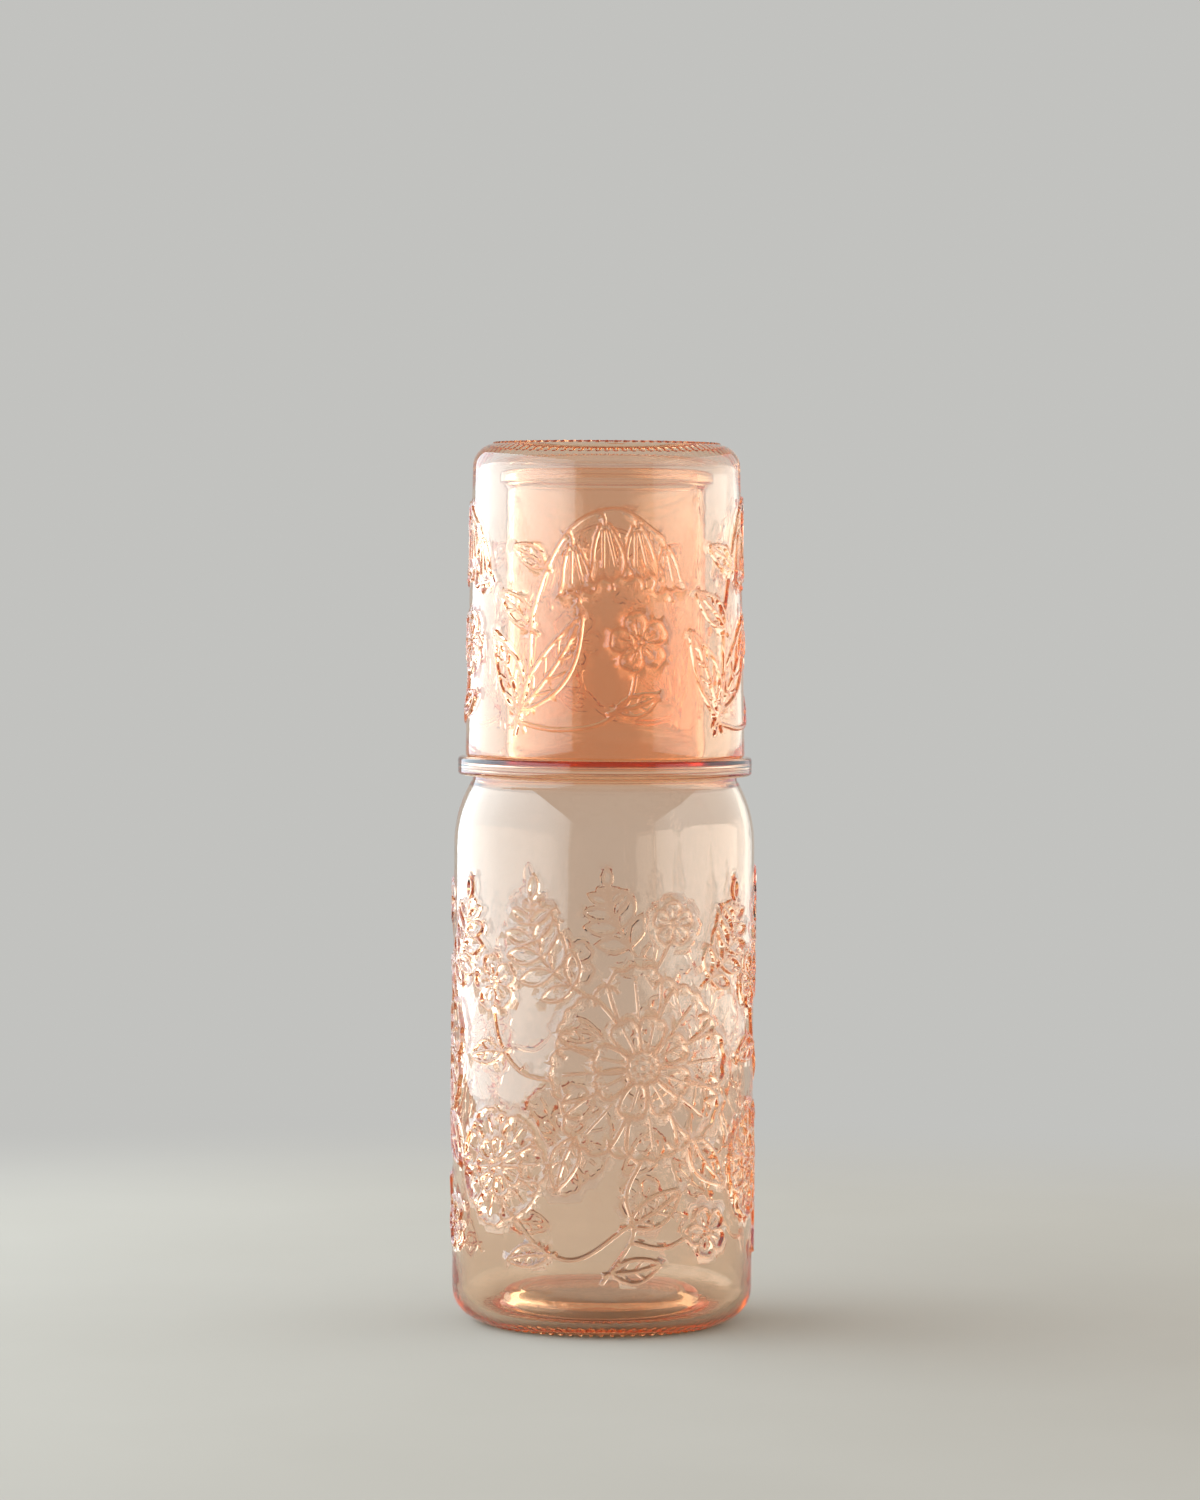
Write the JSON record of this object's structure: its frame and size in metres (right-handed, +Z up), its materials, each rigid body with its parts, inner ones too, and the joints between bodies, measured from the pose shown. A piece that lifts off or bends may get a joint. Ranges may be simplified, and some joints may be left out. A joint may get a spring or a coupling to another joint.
{
  "type": "bedside carafe with tumbler",
  "caption": "Round glass carafe with a shoulder, a collar and a wide neck, covered by an upturned tumbler that rests on the collar; holds and pours drinking water.",
  "frame": {"origin": "middle of the foot's standing plane, on the axis that the carafe and the tumbler share", "axes": "+Z up along the common axis, from the foot to the tumbler's base; X and Y are alike"},
  "size_m": [0.09, 0.09, 0.2633],
  "materials": {
    "carafe_glass": "clear moulded glass, pale peach tint, with a raised pattern of flowers and leaves",
    "tumbler_glass": "clear moulded glass, pale peach tint, with a raised pattern of flowers and leaves"
  },
  "bodies": {
    "carafe": {"carafe": "carafe_glass"},
    "tumbler": {"tumbler": "tumbler_glass"}
  },
  "joints": [
    {"name": "tumbler_lift", "type": "slide", "parent": "carafe", "child": "tumbler", "axis": [0, 0, 1], "range_m": [0, 0.1]}
  ]
}
